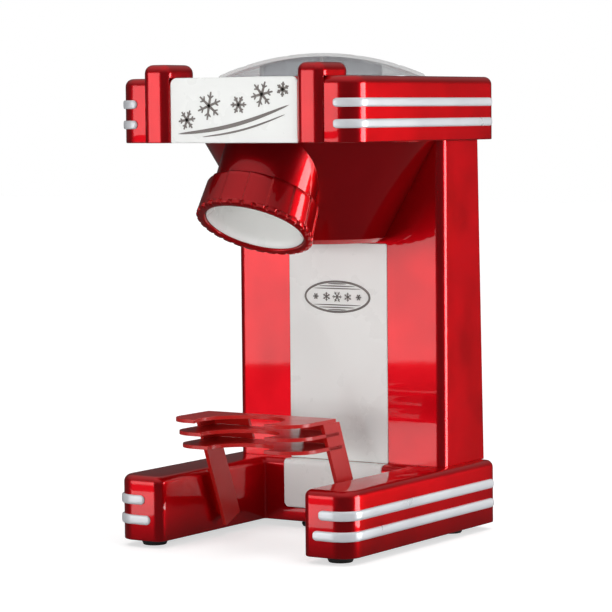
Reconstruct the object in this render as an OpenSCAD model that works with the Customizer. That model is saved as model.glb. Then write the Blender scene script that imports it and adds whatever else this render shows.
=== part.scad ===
// Table-top shaved ice machine. A conical hopper under a clear lid feeds ice cubes to a paddle rotor,
// which drags them over a fixed blade. The shavings fall down a tilted chute into a paper cone that
// stands in a removable holder between the two legs. A motor in the column drives the rotor by gears.
// Front is -Y, right is +X, and the feet stand on Z = 0. All sizes are in millimetres.

/* [Base] */
// Width across the two legs
base_w = 182; // [178:1:186]
// Depth of the legs, front to back
base_d = 190; // [188:1:192]
// Height of the base moulding above the feet
base_h = 43; // [42:0.5:45]
// Width of one leg
leg_w = 35.7; // [35:0.1:37]
// Radius of the outer front corners of the legs
base_corner_r = 13; // [11:0.5:14]
// Radius of the inner front corners of the legs
leg_inner_r = 6; // [5:0.5:7]
// Front face of the cross beam, behind the middle
beam_front_y = 29; // [28:0.5:30]
// Height of the rubber feet
foot_h = 4.5; // [4:0.5:5]
// Radius of the rubber feet
foot_r = 8.5; // [7:0.5:9]
// Wall of the plastic mouldings
wall = 2.5; // [2:0.1:2.6]

/* [Column] */
// Width of the column
column_w = 165; // [162:1:167]
// Front face of the column, behind the middle
column_front_y = 38.5; // [38:0.5:39]
// Rear edge of the column where it meets the base
column_rear_low = 93.5; // [93:0.5:94]
// Rear edge of the column where it meets the head
column_rear_high = 86.5; // [86:0.5:88]
// Radius of the front corners of the column
column_corner_r = 5.6; // [4:0.2:6]
// Width of the white front panel
panel_w = 78.4; // [76:0.2:79]

/* [Head] */
// Width of the head
head_w = 184; // [182:1:186]
// Front face of the head
head_front_y = -86.5; // [-87:0.5:-86]
// Rear face of the head
head_rear_y = 93.5; // [93:0.5:94]
// Underside of the head above the table
head_low_z = 266.5; // [266:0.5:267]
// Top of the head above the table
head_top_z = 308.7; // [308.5:0.1:309]
// Radius of the head's front corners
head_corner_r = 13.6; // [12:0.2:14]
// Inner edge of each fin from the middle
fin_in_x = 49.4; // [49:0.2:50]
// Outer edge of each fin from the middle
fin_out_x = 69.7; // [69:0.1:70]
// Front face of the fins
fin_front_y = -90.4; // [-91:0.1:-90]
// Rear end of the fins on top of the head
fin_rear_y = -56; // [-58:1:-54]
// Top of the fins above the table
fin_top_z = 317.5; // [316:0.5:319]
// How far the silver stripes stand proud
stripe_proud = 1.6; // [1.2:0.1:1.8]

/* [Hopper and lid] */
// Axis of the hopper, the rotor and the lid, behind the middle
hopper_y = 20; // [19.8:0.1:20.2]
// Radius of the lid where it leaves the head
lid_r = 69.6; // [69:0.1:69.8]
// Height of the lid's upright rim above the head
lid_rim_h = 1.8; // [1:0.1:3]
// Rise of the clear dome above the rim
lid_rise = 15; // [13:0.2:17]
// Radius of the conical housing at its bottom
bowl_low_r = 40.5; // [40:0.1:41]
// Radius of the conical housing under the head
bowl_high_r = 79.5; // [79:0.1:80]
// Underside of the conical housing above the table
bowl_low_z = 198.4; // [198:0.2:199]

/* [Chute] */
// Tilt of the chute from upright, mouth to the front
chute_tilt = 28.2; // [27:0.2:29]
// Centre of the chute's mouth, front to back
mouth_y = -62.8; // [-63.4:0.1:-62.6]
// Centre of the chute's mouth above the table
mouth_z = 211.6; // [211:0.2:213]
// Radius of the white mouth
mouth_r = 32.9; // [32.5:0.1:33]
// Outer radius of the chute tube
tube_r = 33.5; // [33.4:0.1:33.8]
// Outer radius of the grip ring at its lower end
ring_r = 39.3; // [38.5:0.1:40]
// Length of the grip ring along the chute
ring_l = 23; // [21:0.5:24]
// Number of scallops round the grip ring
ring_scallops = 30; // [24:2:36]

/* [Cone holder] */
// Upper face of the highest plate above the table
plate_top_z = 87.2; // [86:0.2:88]
// Distance from one plate to the next
plate_pitch = 8.9; // [8.5:0.1:9]
// Thickness of one plate
plate_t = 2.4; // [2:0.1:2.5]
// Half the width of a plate
plate_half_w = 50.5; // [50:0.1:51]
// Depth of a plate, front to back
plate_d = 50; // [49:0.5:50]
// Lean of the holder's struts, top to the front
strut_lean = 22.6; // [22:0.1:23]
// Radius of the notch in the highest plate
notch_r = 29.6; // [29:0.1:30]
// How much smaller the notch is in each lower plate
notch_step = 3.6; // [3.4:0.1:3.7]

/* [Drive] */
// Gear tooth module
gear_module = 1; // [1:0.05:1]
// Teeth on the rotor's gear
rotor_teeth = 64; // [64:1:64]
// Teeth on the motor's pinion
pinion_teeth = 14; // [14:1:14]
// Radius of the rotor's shaft
shaft_r = 4; // [3.8:0.1:4.2]
// Radial gap of a shaft in its bush
shaft_gap = 0.05; // [0.03:0.01:0.08]
// Radius of the motor's can
motor_r = 17; // [15:0.5:17]

/* [Hidden] */
$fn = 96;
eps = 0.05;
front_y = -base_d / 2;
rear_y = base_d / 2;
base_low_z = foot_h;
base_top_z = foot_h + base_h;
leg_out_x = base_w / 2;
leg_in_x = leg_out_x - leg_w;
rear_corner_r = 3;
floor_t = 2.5;
column_half = column_w / 2;
panel_half = panel_w / 2;
panel_proud = 0.8;
rear_tilt = atan((column_rear_low - column_rear_high) / (head_low_z - base_top_z));
cover_half_w = 58;
cover_low = 18;
cover_high = 200;
cover_t = 2.4;
head_half = head_w / 2;
head_gap = 0.1;
head_open_r = lid_r + 0.6;
lid_t = 2.2;
lid_seat_z = head_top_z - wall;
lid_sphere_r = (lid_r * lid_r + lid_rise * lid_rise) / (2 * lid_rise);
lid_centre_z = head_top_z + lid_rim_h + lid_rise - lid_sphere_r;
hopper_floor_z = 262;
hopper_floor_t = 3;
hopper_floor_r = 48;
hopper_wall_r = 61;
hopper_flange_t = 2.5;
hopper_flange_z = lid_seat_z - hopper_flange_t;
hopper_flange_r = 76;
hopper_t = 2.4;
slot_y = -13;
slot_l = 28;
liner_r = tube_r - wall - 0.3;
liner_bore_r = liner_r - 1.6;
liner_l = 38;
notch_y = -83;
strut_w = 18;
strut_t = 2.6;
strut_in_x = plate_half_w - strut_t;
strut_low_z = 8;
strut_low = -(plate_top_z - strut_low_z) / cos(strut_lean);
rail_w = 5.4;
rail_gap = 0.35;
rib_low = strut_low + 4;
rib_l = 32;
plate_front_y = -95;
plate_corner_r = 18;
web_in_x = 20;
gear_z = 208;
gear_t = 7;
centre_distance = gear_module * (rotor_teeth + pinion_teeth) / 2;
motor_y = hopper_y + centre_distance;
frame_z = bowl_low_z + wall + 0.1;
frame_t = 3;
frame_r = 33;
frame_half_w = 29;
cover_z = 217;
motor_len = 60;
motor_shaft_r = 1.6;
switch_x = lid_r - lid_t / 2;
plunger_r = 2;
gland_x = 40;
gland_z = 26;
gland_r = 6;
inlet_r = 3.6;
gland_proud = 3.3;

// Heights of the stripes: lowest edge and height of each
head_stripe_z = [275.7, 289.0];
head_stripe_h = 5.7;
head_stripe_x = [76, 76];
leg_stripe_z = [15.4, 28.6];
leg_stripe_h = 6.3;
leg_stripe_x = [63.5, 68];

// Places of the rubber feet and of the screws that close the base
foot_xy = [[73, -77], [73, 63], [24, 43]];
floor_screw_xy = [[73, -40], [73, 20], [40, 84]];
cover_screw_xz = [[50, 26], [50, 192]];
frame_screw_xy = [24, 78];
frame_rear_y = 83;

bright_red = [0.72, 0.03, 0.05];
plain_red = [0.75, 0.1, 0.08];
panel_white = [0.88, 0.88, 0.86];
stripe_silver = [0.85, 0.86, 0.88];
rubber_black = [0.06, 0.06, 0.06];
clear_grey = [0.8, 0.82, 0.85, 0.4];
steel_grey = [0.62, 0.63, 0.65];
gear_white = [0.9, 0.9, 0.84];
frame_grey = [0.3, 0.3, 0.32];
bronze = [0.66, 0.47, 0.22];
ink_grey = [0.42, 0.4, 0.38];

// ---- shared outlines and helpers ----

// Draws its children on the right and their mirror image on the left
module both_sides() {
    children();
    mirror([1, 0, 0]) children();
}

// A box given by its lowest and highest corners
module block(low, high) {
    translate(low) cube(high - low);
}

// A rectangle whose front corners have radius r_front and rear corners r_rear
module rounded_plan(half_w, y0, y1, r_front, r_rear) {
    translate([-half_w, y0 + r_front]) square([2 * half_w, y1 - y0 - r_front - r_rear]);
    translate([-half_w + r_front, y0]) square([2 * (half_w - r_front), r_front + eps]);
    translate([-half_w + r_rear, y1 - r_rear - eps]) square([2 * (half_w - r_rear), r_rear + eps]);
    for (s = [-1, 1]) {
        translate([s * (half_w - r_front), y0 + r_front]) circle(r_front);
        translate([s * (half_w - r_rear), y1 - r_rear]) circle(r_rear);
    }
}

// The plan of the right leg, drawn in by the distance e on every side
module leg_plan(e) {
    x_in = leg_in_x + e;
    x_out = leg_out_x - e;
    y_front = front_y + e;
    y_rear = rear_y - e;
    r_in = leg_inner_r - e;
    r_out = base_corner_r - e;
    translate([x_in + r_in, y_front]) square([x_out - r_out - x_in - r_in, y_rear - y_front]);
    translate([x_in, y_front + r_in]) square([r_in + eps, y_rear - y_front - r_in]);
    translate([x_out - r_out - eps, y_front + r_out]) square([r_out + eps, y_rear - y_front - r_out]);
    translate([x_in + r_in, y_front + r_in]) circle(r_in);
    translate([x_out - r_out, y_front + r_out]) circle(r_out);
}

// The plan of the whole base: two legs and the cross beam
module base_plan(e) {
    both_sides() leg_plan(e);
    translate([-leg_out_x + e, beam_front_y + e]) square([base_w - 2 * e, rear_y - beam_front_y - 2 * e]);
}

// The leaning frame of the holder's struts: local Y runs back along a strut's width
module strut_frame() {
    translate([0, plate_front_y + 33, plate_top_z]) rotate([strut_lean, 0, 0]) children();
}

// The leaning rear face of the column: local Z runs up the face, local Y runs outwards
module rear_frame() {
    translate([0, column_rear_low, base_top_z]) rotate([rear_tilt, 0, 0]) children();
}

// The tilted axis of the chute: local Z runs up the chute from the mouth
module chute_frame() {
    translate([0, mouth_y, mouth_z]) rotate([-chute_tilt, 0, 0]) children();
}

// A pan-head screw: head below Z = 0, shank up to length l
module pan_screw(head_r, head_h, shank_r, l) {
    difference() {
        translate([0, 0, -head_h]) cylinder(h = head_h, r = head_r);
        for (a = [0, 90]) rotate([0, 0, a]) translate([-head_r * 0.6, -0.4, -head_h - eps])
            cube([head_r * 1.2, 0.8, head_h * 0.5]);
    }
    translate([0, 0, -eps]) cylinder(h = l + eps, r = shank_r);
}

// ---- gear outline: involute flanks on a pitch circle ----

pressure_angle = 20;
tip_height = 0.8;
root_depth = 1.15;
backlash = 0.16;

function involute(a) = tan(a) * 180 / PI - a;
function flank_angle(rho, pitch_r, teeth) =
    let (base_r = pitch_r * cos(pressure_angle))
    let (a = rho > base_r ? acos(base_r / rho) : 0)
    90 / teeth - backlash / 2 / pitch_r * 180 / PI + involute(pressure_angle) - involute(a);
function gear_points(teeth, steps) =
    let (pitch_r = gear_module * teeth / 2)
    let (root_r = pitch_r - root_depth * gear_module)
    let (tip_r = pitch_r + tip_height * gear_module)
    [for (k = [0 : teeth - 1], s = [-1, 1], i = [0 : steps])
        let (rho = s < 0 ? root_r + (tip_r - root_r) * i / steps : tip_r - (tip_r - root_r) * i / steps)
        let (a = 360 * k / teeth + s * flank_angle(rho, pitch_r, teeth))
        [rho * cos(a), rho * sin(a)]];

// A spur gear with its first tooth on the angle phase
module spur_gear(teeth, phase) {
    rotate([0, 0, phase]) linear_extrude(gear_t) polygon(gear_points(teeth, 5));
}

// ---- base ----

module base_shell() {
    color(bright_red) difference() {
        translate([0, 0, base_low_z]) linear_extrude(base_h) base_plan(0);
        translate([0, 0, base_low_z - eps]) linear_extrude(base_h - wall + eps) base_plan(wall);
        // recess for the white front panel and its ledge
        block([-panel_half, beam_front_y - 1, base_low_z + 9.5], [panel_half, beam_front_y + 1.5, base_top_z + 1]);
        block([-panel_half, beam_front_y, base_top_z - 1.5], [panel_half, column_front_y, base_top_z + 1]);
        // passage for the wiring into the column
        block([-25, 55, base_top_z - wall - 1], [25, 80, base_top_z + 1]);
        // hole for the cord gland
        translate([gland_x, rear_y - wall - 1, gland_z]) rotate([-90, 0, 0])
            cylinder(h = wall + 2, r = gland_r + head_gap);
        // leaning grooves in the inner walls, open at the top, that guide the holder's ribs
        both_sides() strut_frame() block([leg_in_x - 1, (strut_w - rail_w) / 2 - rail_gap, rib_low - rail_gap],
            [leg_in_x + wall + 1, (strut_w + rail_w) / 2 + rail_gap, 0]);
    }
}

module base_floor() {
    color(rubber_black) difference() {
        translate([0, 0, base_low_z]) linear_extrude(floor_t) base_plan(wall + head_gap);
        both_sides() for (p = foot_xy) translate([p[0], p[1], base_low_z - 1]) cylinder(h = floor_t + 2, r = 2.5);
        both_sides() for (p = floor_screw_xy) translate([p[0], p[1], base_low_z - 1]) cylinder(h = floor_t + 2, r = 1.6);
    }
}

module floor_screws() {
    color(steel_grey) both_sides() for (p = floor_screw_xy)
        translate([p[0], p[1], base_low_z]) pan_screw(3, 1.8, 1.5, 14);
}

module feet() {
    color(rubber_black) both_sides() for (p = foot_xy) translate([p[0], p[1], 0]) {
        cylinder(h = 2.2, r1 = foot_r - 0.8, r2 = foot_r);
        translate([0, 0, 2.2]) cylinder(h = foot_h - 2.2, r = foot_r - 1.5);
        cylinder(h = foot_h + floor_t, r = 2.5);
        translate([0, 0, foot_h + floor_t]) cylinder(h = 1.5, r1 = 3.4, r2 = 2.2);
    }
}

// One stripe: the band between an outline and the same outline grown by the stripe's proud height
module leg_stripes() {
    color(stripe_silver) both_sides() for (i = [0, 1])
        translate([0, 0, leg_stripe_z[i]]) linear_extrude(leg_stripe_h) difference() {
            intersection() {
                leg_plan(-stripe_proud);
                translate([leg_stripe_x[i], front_y - 5]) square([60, 5 + 90.3 - front_y]);
            }
            leg_plan(0);
        }
}

module base_front_panel() {
    color(panel_white) {
        block([-panel_half + head_gap, beam_front_y - panel_proud, base_low_z + 9.6],
            [panel_half - head_gap, beam_front_y + 1.4, base_top_z]);
        block([-panel_half + head_gap, beam_front_y + 1.4 - eps, base_top_z - 1.4],
            [panel_half - head_gap, column_front_y - panel_proud - head_gap, base_top_z]);
    }
}

// ---- column ----

// The column's outer form: a rounded plan cut by the leaning rear face, drawn in by e
module column_form(e) {
    intersection() {
        translate([0, 0, base_top_z - 1]) linear_extrude(head_low_z - base_top_z + 2)
            rounded_plan(column_half - e, column_front_y + e, column_rear_low + 5, column_corner_r - e + 0.1, 1);
        rear_frame() block([-120, -100, -20], [120, -e, 240]);
    }
}

module column_shell() {
    color(bright_red) difference() {
        intersection() {
            column_form(0);
            block([-120, 0, base_top_z], [120, 120, head_low_z]);
        }
        column_form(wall);
        // recess for the white front panel
        block([-panel_half, column_front_y - 1, base_top_z - 1], [panel_half, column_front_y + 1.4, bowl_low_z - 1.5]);
        // opening behind the conical housing for the gear and its frame
        block([-36.4, column_front_y - 1, bowl_low_z + wall - 0.1], [36.4, column_front_y + wall + 1, head_low_z + 1]);
        // wider opening at the top for the hopper's floor
        block([-hopper_floor_r - 1, column_front_y - 1, hopper_floor_z - 1],
            [hopper_floor_r + 1, column_front_y + wall + 1, head_low_z + 1]);
        // opening for the rear cover
        rear_frame() block([-cover_half_w - head_gap, -wall - 1, cover_low - head_gap],
            [cover_half_w + head_gap, 1, cover_high + head_gap]);
    }
}

module column_front_panel() {
    color(panel_white) block([-panel_half + head_gap, column_front_y - panel_proud, base_top_z + head_gap],
        [panel_half - head_gap, column_front_y + 1.3, bowl_low_z - 1.6]);
}

module badge_plate() {
    half_w = 26.5;
    half_h = 11.2;
    color(ink_grey) translate([0, column_front_y - panel_proud, 160]) rotate([90, 0, 0])
        linear_extrude(0.8) polygon([for (i = [0 : 47]) [half_w * cos(7.5 * i), half_h * sin(7.5 * i)]]);
}

module rear_cover() {
    color(bright_red) rear_frame() difference() {
        block([-cover_half_w, -cover_t, cover_low], [cover_half_w, 0, cover_high]);
        // cooling slots in two blocks
        both_sides() for (i = [0 : 8]) block([8, -cover_t - 1, 120 + 6 * i], [36, 1, 122.4 + 6 * i]);
        both_sides() for (p = cover_screw_xz)
            translate([p[0], -cover_t - 1, p[1]]) rotate([-90, 0, 0]) cylinder(h = cover_t + 2, r = 1.6);
    }
}

module rear_screws() {
    color(steel_grey) rear_frame() both_sides() for (p = cover_screw_xz)
        translate([p[0], 0, p[1]]) rotate([90, 0, 0]) pan_screw(2.8, 1.4, 1.5, 10);
}

module cord_gland() {
    color(rubber_black) translate([gland_x, rear_y, gland_z]) rotate([-90, 0, 0]) difference() {
        union() {
            cylinder(h = gland_proud, r = gland_r + 2);
            translate([0, 0, -wall - eps]) cylinder(h = wall + 2 * eps, r = gland_r);
            translate([0, 0, -wall - 3]) cylinder(h = 3, r = gland_r + 1.5);
        }
        translate([0, 0, -wall - 5]) cylinder(h = wall + gland_proud + 7, r = inlet_r);
    }
}

// ---- head ----

module head_plan(e) {
    rounded_plan(head_half - e, head_front_y + e, head_rear_y - e, head_corner_r - e, rear_corner_r - min(e, 2));
}

module head_shell() {
    color(bright_red) difference() {
        translate([0, 0, head_low_z]) linear_extrude(head_top_z - head_low_z) head_plan(0);
        translate([0, 0, head_low_z - eps]) linear_extrude(head_top_z - head_low_z - wall + eps) head_plan(wall);
        translate([0, hopper_y, head_top_z - wall - 1]) cylinder(h = wall + 2, r = head_open_r);
        // recess for the white front panel
        block([-fin_in_x, head_front_y - 1, head_low_z - 1], [fin_in_x, head_front_y + 1.5, head_top_z + 1]);
    }
}

module head_floor() {
    color(bright_red) difference() {
        translate([0, 0, head_low_z]) linear_extrude(floor_t) head_plan(wall + head_gap);
        translate([0, hopper_y, head_low_z - 1]) cylinder(h = floor_t + 2, r = bowl_high_r - wall - 1.5);
        // room for the chute where it runs up under the head
        chute_frame() cylinder(h = 80, r = tube_r + 0.2);
    }
}

// A fin: a strip down the front of the head, bent back over its top
module fin(s) {
    mirror([s < 0 ? 1 : 0, 0, 0]) {
        block([fin_in_x + head_gap, fin_front_y, head_low_z], [fin_out_x, head_front_y, head_top_z + eps]);
        difference() {
            block([fin_in_x + head_gap, fin_front_y, head_top_z], [fin_out_x, fin_rear_y, fin_top_z]);
            // rounded front and rear ends of the top, seen from the side
            fin_round(fin_front_y, 1, 5);
            fin_round(fin_rear_y, -1, 7);
        }
    }
}

// Cuts the upper edge at the plane y to the radius r; d points into the fin
module fin_round(y, d, r) {
    difference() {
        block([fin_in_x - 1, min(y, y + d * r) - (d > 0 ? 1 : 0), fin_top_z - r],
            [fin_out_x + 1, max(y, y + d * r) + (d > 0 ? 0 : 1), fin_top_z + 1]);
        translate([0, y + d * r, fin_top_z - r]) rotate([0, 90, 0]) cylinder(h = 100, r = r);
    }
}

module fin_left() {
    color(bright_red) fin(-1);
}

module fin_right() {
    color(bright_red) fin(1);
}

module head_front_panel() {
    color(panel_white) block([-fin_in_x + head_gap, head_front_y, head_low_z], [fin_in_x - head_gap, head_front_y + 1.4, head_top_z]);
}

module head_stripes() {
    color(stripe_silver) both_sides() for (i = [0, 1])
        translate([0, 0, head_stripe_z[i]]) linear_extrude(head_stripe_h) difference() {
            intersection() {
                head_plan(-stripe_proud);
                translate([head_stripe_x[i], head_front_y - 5]) square([60, 5 + 88.4 - head_front_y]);
            }
            head_plan(0);
        }
}

// ---- chute ----

// The conical housing's profile, drawn in by e, from its floor to the head
module bowl_profile(e) {
    slope = (bowl_high_r - bowl_low_r) / (head_low_z - bowl_low_z);
    polygon([
        [0, bowl_low_z + e],
        [bowl_low_r - 3 - e, bowl_low_z + e],
        [bowl_low_r + slope * 3 - e * 1.2, bowl_low_z + 3 + e * 0.4],
        [bowl_high_r - e * 1.2, head_low_z + (e > 0 ? 1 : 0)],
        [0, head_low_z + (e > 0 ? 1 : 0)]
    ]);
}

// The round pocket in the cone that the grip ring turns in, grown by e
module ring_pocket(e) {
    chute_frame() translate([0, 0, -40]) cylinder(h = 40 + ring_l + 0.6 + e, r = ring_r + 0.7 + e);
}

module chute_housing() {
    color(bright_red) difference() {
        intersection() {
            union() {
                difference() {
                    translate([0, hopper_y, 0]) rotate_extrude() bowl_profile(0);
                    ring_pocket(0);
                }
                chute_frame() translate([0, 0, 1.5]) cylinder(h = 90, r = tube_r);
            }
            block([-100, -100, 190], [100, column_front_y, head_low_z]);
        }
        difference() {
            translate([0, hopper_y, 0]) rotate_extrude() bowl_profile(wall);
            ring_pocket(wall);
        }
        chute_frame() translate([0, 0, -1]) cylinder(h = 100, r = tube_r - wall);
    }
}

// The white liner: a tube that flares to the mouth, closed above but for the slot that lets the ice in
module chute_liner() {
    color(panel_white) chute_frame() difference() {
        rotate_extrude() polygon([
            [mouth_r, 0],
            [mouth_r, 1.4],
            [liner_r, 1.4],
            [liner_r, liner_l],
            [0, liner_l],
            [0, liner_l - 2],
            [liner_bore_r, liner_l - 2],
            [liner_bore_r, 4],
            [liner_bore_r + 1.1, 1],
            [mouth_r - 0.6, 0]
        ]);
        block([-15, 6, liner_l - 3], [15, 22, liner_l + 1]);
    }
}

// The grip ring: a tapered collar with scallops round its lower edge and grooves up its side
module grip_ring() {
    lip = 1.8;
    color(bright_red) chute_frame() difference() {
        translate([0, 0, -lip]) cylinder(h = ring_l + lip, r1 = ring_r, r2 = ring_r - 1.5);
        translate([0, 0, 0.3 - eps]) cylinder(h = ring_l + 1, r = tube_r + 0.3);
        translate([0, 0, -lip - 1]) cylinder(h = lip + 2, r = mouth_r + 0.3);
        for (i = [0 : ring_scallops - 1]) rotate([0, 0, 360 * (i + 0.5) / ring_scallops])
            translate([ring_r + 0.9, 0, -lip - 1]) cylinder(h = 3.4, r = 1.8, $fn = 24);
    }
}

// ---- hopper and lid ----

module hopper_bowl() {
    color(panel_white) translate([0, hopper_y, 0]) difference() {
        rotate_extrude() polygon([
            [0, hopper_floor_z],
            [hopper_floor_r + hopper_t, hopper_floor_z],
            [hopper_wall_r + hopper_t, hopper_flange_z],
            [hopper_flange_r, hopper_flange_z],
            [hopper_flange_r, hopper_flange_z + hopper_flange_t],
            [hopper_wall_r, hopper_flange_z + hopper_flange_t],
            [hopper_floor_r, hopper_floor_z + hopper_floor_t],
            [0, hopper_floor_z + hopper_floor_t]
        ]);
        translate([0, 0, hopper_floor_z - 1]) cylinder(h = hopper_floor_t + 2, r = 7);
        // the slot under the blade's edge
        block([-1, slot_y - hopper_y - slot_l / 2, hopper_floor_z - 1], [5, slot_y - hopper_y + slot_l / 2, hopper_floor_z + 4]);
        for (dy = [-8, 8]) translate([-7, slot_y - hopper_y + dy, hopper_floor_z - 1]) cylinder(h = 6, r = 1.3);
        translate([switch_x, 0, hopper_flange_z - 1]) cylinder(h = 5, r = plunger_r + shaft_gap);
        // flats that clear the head's rear wall and sides
        block([-90, head_rear_y - wall - 0.3 - hopper_y, 250], [90, 90, 320]);
    }
}

module shaving_blade() {
    color(steel_grey) difference() {
        translate([-11, slot_y - slot_l / 2 + 0.5, hopper_floor_z + hopper_floor_t]) linear_extrude(0.8)
            polygon([[0, 0], [13, 0], [13, slot_l - 1], [0, slot_l - 1]]);
        for (dy = [-8, 8]) translate([-7, slot_y + dy, hopper_floor_z]) cylinder(h = 6, r = 1.3);
    }
}

module blade_screws() {
    color(steel_grey) for (dy = [-8, 8])
        translate([-7, slot_y + dy, hopper_floor_z + hopper_floor_t + 0.8]) rotate([180, 0, 0]) pan_screw(2.2, 0.7, 1.25, 4.5);
}

module lid_dome() {
    rim_top = head_top_z + lid_rim_h;
    color(clear_grey) translate([0, hopper_y, 0]) {
        intersection() {
            difference() {
                translate([0, 0, lid_centre_z]) sphere(lid_sphere_r, $fn = 128);
                translate([0, 0, lid_centre_z]) sphere(lid_sphere_r - lid_t, $fn = 128);
            }
            translate([0, 0, rim_top - lid_t - 0.6]) cylinder(h = 40, r = lid_r);
        }
        difference() {
            translate([0, 0, lid_seat_z]) cylinder(h = rim_top - lid_seat_z - 0.2, r = lid_r);
            translate([0, 0, lid_seat_z - 1]) cylinder(h = rim_top - lid_seat_z + 2, r = lid_r - lid_t);
        }
    }
}

// Cross ribs under the lid that keep the cubes down on the rotor
module lid_presser() {
    low = 300;
    color(clear_grey) translate([0, hopper_y, 0]) intersection() {
        union() for (a = [0, 60, 120]) rotate([0, 0, a]) block([-46, -1.2, low], [46, 1.2, head_top_z + 40]);
        translate([0, 0, lid_centre_z]) sphere(lid_sphere_r - lid_t, $fn = 128);
        translate([0, 0, low]) cylinder(h = 60, r = 46);
    }
}

// ---- rotor and drive ----

module rotor_paddle() {
    low = hopper_floor_z + hopper_floor_t + 2.2;
    color(gear_white) translate([0, hopper_y, 0]) difference() {
        union() {
            translate([0, 0, low]) cylinder(h = 12, r = 10);
            translate([0, 0, low + 12]) cylinder(h = 3, r1 = 10, r2 = 6);
            for (a = [45 : 90 : 315]) rotate([0, 0, a]) {
                block([8, -2, low], [42, 2, low + 10]);
                block([8, -2, low + 9], [30, 2, low + 14]);
            }
        }
        translate([0, 0, low - 1]) cylinder(h = 12, r = shaft_r);
    }
}

module rotor_shaft() {
    color(steel_grey) translate([0, hopper_y, frame_z + 0.3])
        cylinder(h = hopper_floor_z + 15 - frame_z, r = shaft_r);
}

module rotor_gear() {
    color(gear_white) translate([0, hopper_y, gear_z]) difference() {
        union() {
            difference() {
                spur_gear(rotor_teeth, 90);
                // lightening holes
                for (a = [0 : 60 : 300]) rotate([0, 0, a]) translate([19.5, 0, -1]) cylinder(h = gear_t + 2, r = 6);
            }
            cylinder(h = gear_t + 1, r = 9);
        }
        translate([0, 0, -1]) cylinder(h = gear_t + 3, r = shaft_r);
    }
}

module bush(z, h) {
    translate([0, hopper_y, z]) difference() {
        cylinder(h = h, r = 7);
        translate([0, 0, -1]) cylinder(h = h + 2, r = shaft_r + shaft_gap);
    }
}

module upper_bush() {
    color(bronze) bush(hopper_floor_z - 2, hopper_floor_t + 3);
}

module lower_bush() {
    color(bronze) bush(frame_z + 0.2, frame_t + 2);
}

// The plate that carries the lower bush, the motor and the gear cover's posts
module gear_frame() {
    color(frame_grey) difference() {
        translate([0, 0, frame_z]) linear_extrude(frame_t) union() {
            translate([0, hopper_y]) circle(frame_r);
            translate([-frame_half_w, hopper_y]) square([2 * frame_half_w, frame_rear_y - hopper_y]);
        }
        translate([0, hopper_y, frame_z + 0.2]) cylinder(h = frame_t + 1, r = 7);
        translate([0, hopper_y, frame_z - 1]) cylinder(h = frame_t + 1, r = shaft_r + 0.5);
        translate([0, motor_y, frame_z - 1]) cylinder(h = frame_t + 2, r = 5);
        both_sides() translate([frame_screw_xy[0], frame_screw_xy[1], frame_z - 1]) cylinder(h = frame_t + 2, r = 1.6);
    }
}

module gear_cover() {
    color(frame_grey) difference() {
        union() {
            translate([0, 0, cover_z]) linear_extrude(2) union() {
                translate([0, hopper_y]) circle(36);
                translate([-frame_half_w, hopper_y]) square([2 * frame_half_w, frame_rear_y - hopper_y]);
            }
            both_sides() translate([frame_screw_xy[0], frame_screw_xy[1], frame_z + frame_t])
                cylinder(h = cover_z - frame_z - frame_t + eps, r = 3.5);
        }
        translate([0, hopper_y, cover_z - 1]) cylinder(h = 4, r = shaft_r + 1);
        translate([0, motor_y, cover_z - 1]) cylinder(h = 4, r = 3);
        both_sides() translate([frame_screw_xy[0], frame_screw_xy[1], frame_z]) cylinder(h = 12, r = 1.5);
    }
}

module frame_screws() {
    color(steel_grey) both_sides() translate([frame_screw_xy[0], frame_screw_xy[1], frame_z])
        pan_screw(2.6, 1.4, 1.5, 10);
}

module motor_can() {
    top = frame_z;
    color(steel_grey) translate([0, motor_y, 0]) difference() {
        union() {
            translate([0, 0, top - motor_len]) cylinder(h = motor_len, r = motor_r);
            translate([0, 0, top - eps]) cylinder(h = 3, r = 4.9);
            translate([0, 0, top - motor_len - 4]) cylinder(h = 4 + eps, r = 6);
            // terminals
            for (x = [-9, 9]) block([x - 1.5, -0.4, top - motor_len - 7], [x + 1.5, 0.4, top - motor_len + 1]);
        }
        translate([0, 0, top - 14]) cylinder(h = 20, r = motor_shaft_r + shaft_gap);
    }
}

module motor_shaft() {
    color(steel_grey) translate([0, motor_y, frame_z - 13]) cylinder(h = 29, r = motor_shaft_r);
}

module motor_pinion() {
    color(bronze) translate([0, motor_y, gear_z]) difference() {
        spur_gear(pinion_teeth, 270 + 180 / pinion_teeth);
        translate([0, 0, -1]) cylinder(h = gear_t + 2, r = motor_shaft_r);
    }
}

// ---- lid switch ----

module switch_body() {
    color(frame_grey) translate([switch_x, hopper_y, 0]) difference() {
        block([-5, -9, 272], [7, 9, 288]);
        translate([0, 0, 278]) cylinder(h = 12, r = plunger_r + shaft_gap);
    }
}

module switch_plunger() {
    color(rubber_black) translate([switch_x, hopper_y, 282]) cylinder(h = lid_seat_z - 0.3 - 282, r = plunger_r);
}

// ---- cone holder ----

// The flat of the right strut, up to the underside of the highest plate
module holder_strut() {
    intersection() {
        strut_frame() block([strut_in_x, 0, strut_low], [plate_half_w, strut_w, 20]);
        block([0, -120, 0], [100, 0, plate_top_z - plate_t]);
    }
}

// One plate of the holder, i steps below the highest, cut out round the struts
module holder_plate(i) {
    dy = i * plate_pitch * tan(strut_lean);
    r = notch_r - i * notch_step;
    y0 = plate_front_y + dy;
    difference() {
        translate([0, 0, plate_top_z - i * plate_pitch - plate_t]) linear_extrude(plate_t) difference() {
            rounded_plan(plate_half_w, y0, y0 + plate_d, plate_corner_r, 1);
            translate([0, notch_y]) circle(r);
        }
        both_sides() holder_strut();
    }
}

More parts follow.
